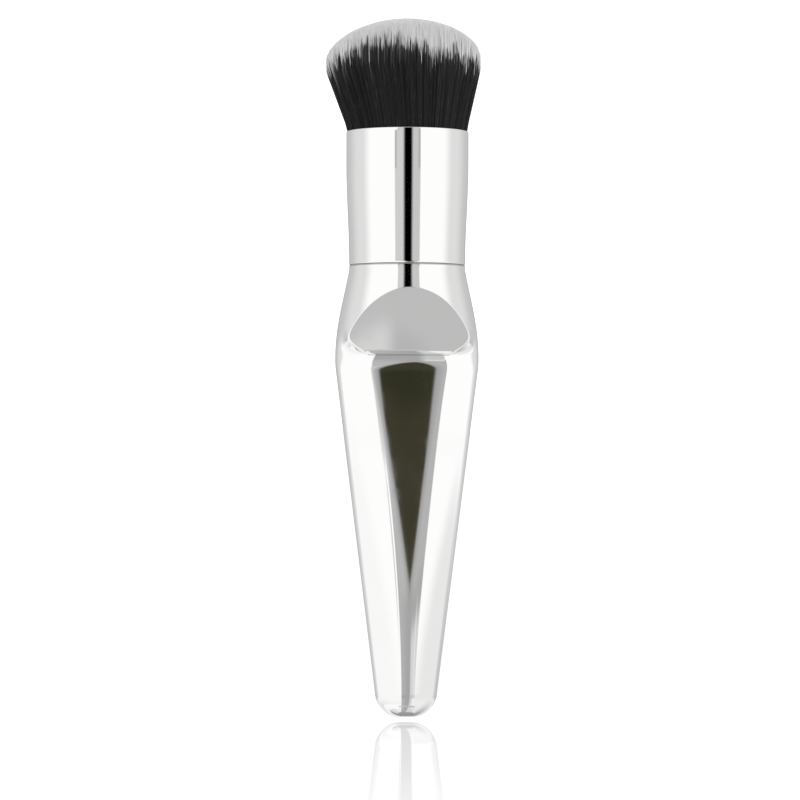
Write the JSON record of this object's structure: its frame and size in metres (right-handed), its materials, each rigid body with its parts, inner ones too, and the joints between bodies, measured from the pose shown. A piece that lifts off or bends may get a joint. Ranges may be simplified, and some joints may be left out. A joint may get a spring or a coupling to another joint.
{
  "type": "foundation brush",
  "caption": "Face brush with a weighted plated handle, slanted thumb rest and long front facet, a slim metal ferrule and a dense slanted domed tuft.",
  "frame": {"origin": "middle of the small flat at the handle's butt end, on the axis of handle and ferrule", "axes": "+Z along the handle towards the hair, thumb rest and facet face -Y, +X to the right when looking at the thumb rest"},
  "size_m": [0.0344, 0.0338, 0.1535],
  "materials": {
    "plated_handle": "bright chrome plating on a plastic moulding, polished to a mirror",
    "steel_rod": "cut and chamfered bar",
    "stopper_plastic": "plain moulded",
    "cured_glue": "clear amber, cured",
    "plated_ferrule": "bright plated, polished to a mirror",
    "cured_epoxy": "amber, cured",
    "thread": "twisted thread",
    "filament": "dense fine synthetic filament, black with pale grey dyed tips"
  },
  "bodies": {
    "root": {"handle": "plated_handle", "counterweight": "steel_rod", "core_stopper": "stopper_plastic", "tenon_adhesive": "cured_glue", "ferrule": "plated_ferrule", "root_plug": "cured_epoxy", "binding_thread": "thread", "bristle_tuft": "filament"}
  },
  "joints": []
}
